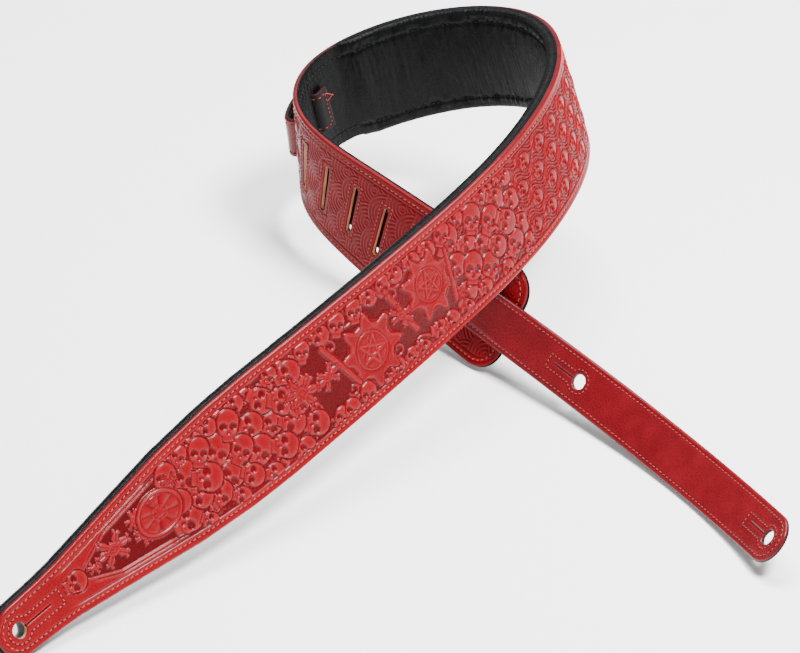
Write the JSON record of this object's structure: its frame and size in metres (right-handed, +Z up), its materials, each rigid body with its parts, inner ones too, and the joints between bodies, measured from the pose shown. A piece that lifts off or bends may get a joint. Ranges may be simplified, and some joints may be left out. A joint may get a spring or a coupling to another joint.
{
  "type": "guitar strap",
  "caption": "Wide padded leather guitar strap, coiled once over itself, with a tapered button-hole nose and a plain tail laced through slots.",
  "frame": {"origin": "centre of the bounding box at its base, on the floor the strap stands on", "axes": "+Z up; +Y away from the viewer who faces the tooled outside of the long leg; the nose lies towards -X -Y and the loop towards +Y"},
  "size_m": [0.4588, 0.5317, 0.1567],
  "materials": {
    "red_embossed_leather": "embossed, satin, waxed",
    "red_smooth_leather": "smooth, glossy",
    "black_garment_leather": "soft pebbled, satin",
    "black_suede": "suede, matt",
    "foam": "open-cell foam",
    "stiffener": "raw pressed leather board",
    "red_thread": "waxed thread"
  },
  "bodies": {
    "strap": {"front_leather": "red_embossed_leather", "front_leather_nose": "red_embossed_leather", "lining": "black_garment_leather", "lining_nose": "black_garment_leather", "foam_pad": "foam", "nose_stiffener": "stiffener", "edge_thread": "red_thread", "nose_keyhole_thread": "red_thread", "slot_thread_1": "red_thread", "slot_thread_2": "red_thread", "slot_thread_3": "red_thread", "slot_thread_4": "red_thread", "slot_thread_5": "red_thread", "slot_thread_6": "red_thread", "slot_thread_7": "red_thread", "slot_thread_8": "red_thread", "slot_thread_9": "red_thread", "held_tail_leather": "red_smooth_leather", "held_tail_backing": "black_suede", "held_tail_thread": "red_thread"},
    "tail": {"free_tail_leather": "red_smooth_leather", "free_tail_backing": "black_suede", "free_tail_thread": "red_thread", "tail_mid_keyhole_thread": "red_thread", "tail_end_keyhole_thread": "red_thread"}
  },
  "joints": [
    {"name": "tail_bend", "type": "hinge", "parent": "strap", "child": "tail", "pos_m": [0.08525, 0.02431, 0.03008], "axis": [-0.4505, -0.2339, -0.8616], "range_deg": [0, 50]}
  ]
}
